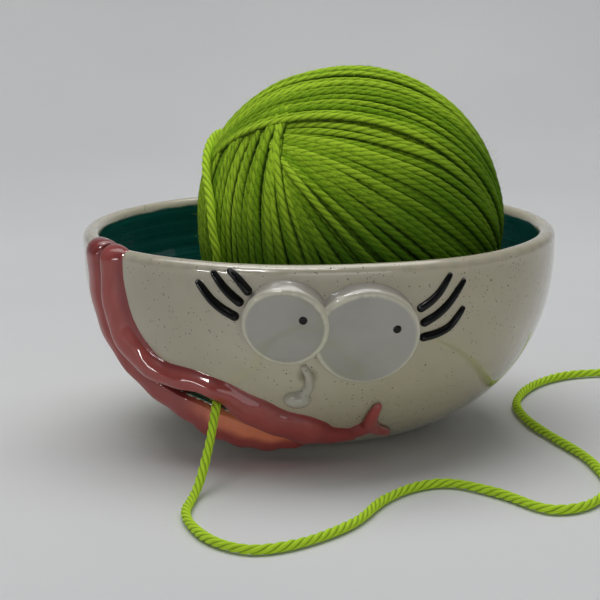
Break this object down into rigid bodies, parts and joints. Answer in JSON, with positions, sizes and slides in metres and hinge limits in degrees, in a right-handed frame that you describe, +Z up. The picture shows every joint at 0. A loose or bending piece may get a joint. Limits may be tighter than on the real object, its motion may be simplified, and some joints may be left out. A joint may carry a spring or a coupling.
{
  "type": "yarn bowl",
  "caption": "Glazed yarn bowl with a goofy applied-clay face whose lips edge the yarn slit, holding a ball of yarn that feeds out through the mouth.",
  "frame": {"origin": "centre of the bowl's flat base, on the table", "axes": "+Z up along the bowl's axis; the face and its mouth look along -Y"},
  "size_m": [0.2154, 0.2577, 0.1375],
  "materials": {
    "cream_glaze": "glossy cream glaze with fine dark speckles; teal glaze inside the bowl",
    "white_glaze": "glossy white glaze",
    "black_glaze": "glossy black glaze",
    "pink_glaze": "glossy coral pink glaze",
    "green_wool": "soft plied lime green yarn"
  },
  "bodies": {
    "bowl": {"bowl_body": "cream_glaze", "left_eye": "white_glaze", "right_eye": "white_glaze", "left_pupil": "black_glaze", "right_pupil": "black_glaze", "left_lash_upper": "black_glaze", "left_lash_middle": "black_glaze", "left_lash_lower": "black_glaze", "right_lash_upper": "black_glaze", "right_lash_middle": "black_glaze", "right_lash_lower": "black_glaze", "nose": "cream_glaze", "upper_lip": "pink_glaze", "lower_lip": "pink_glaze", "mouth_corner": "pink_glaze"},
    "lead_strand": {"lead_strand": "green_wool"},
    "yarn_ball": {"yarn_ball": "green_wool"},
    "working_strand": {"working_strand": "green_wool"}
  },
  "joints": [
    {"name": "ball_lift", "type": "slide", "parent": "bowl", "child": "lead_strand", "axis": [0, 0, 1], "range_m": [0, 0.08]},
    {"name": "ball_turn", "type": "hinge", "parent": "lead_strand", "child": "yarn_ball", "pos_m": [0.0122, 0, 0.081], "axis": [0, 0, 1], "range_deg": [0, 24]},
    {"name": "yarn_pull", "type": "slide", "parent": "bowl", "child": "working_strand", "axis": [0, -1, 0], "range_m": [0, 0.025]}
  ],
  "couplings": [
    {"joint": "yarn_pull", "follows": "ball_turn", "m_per_rad": 0.0579}
  ]
}
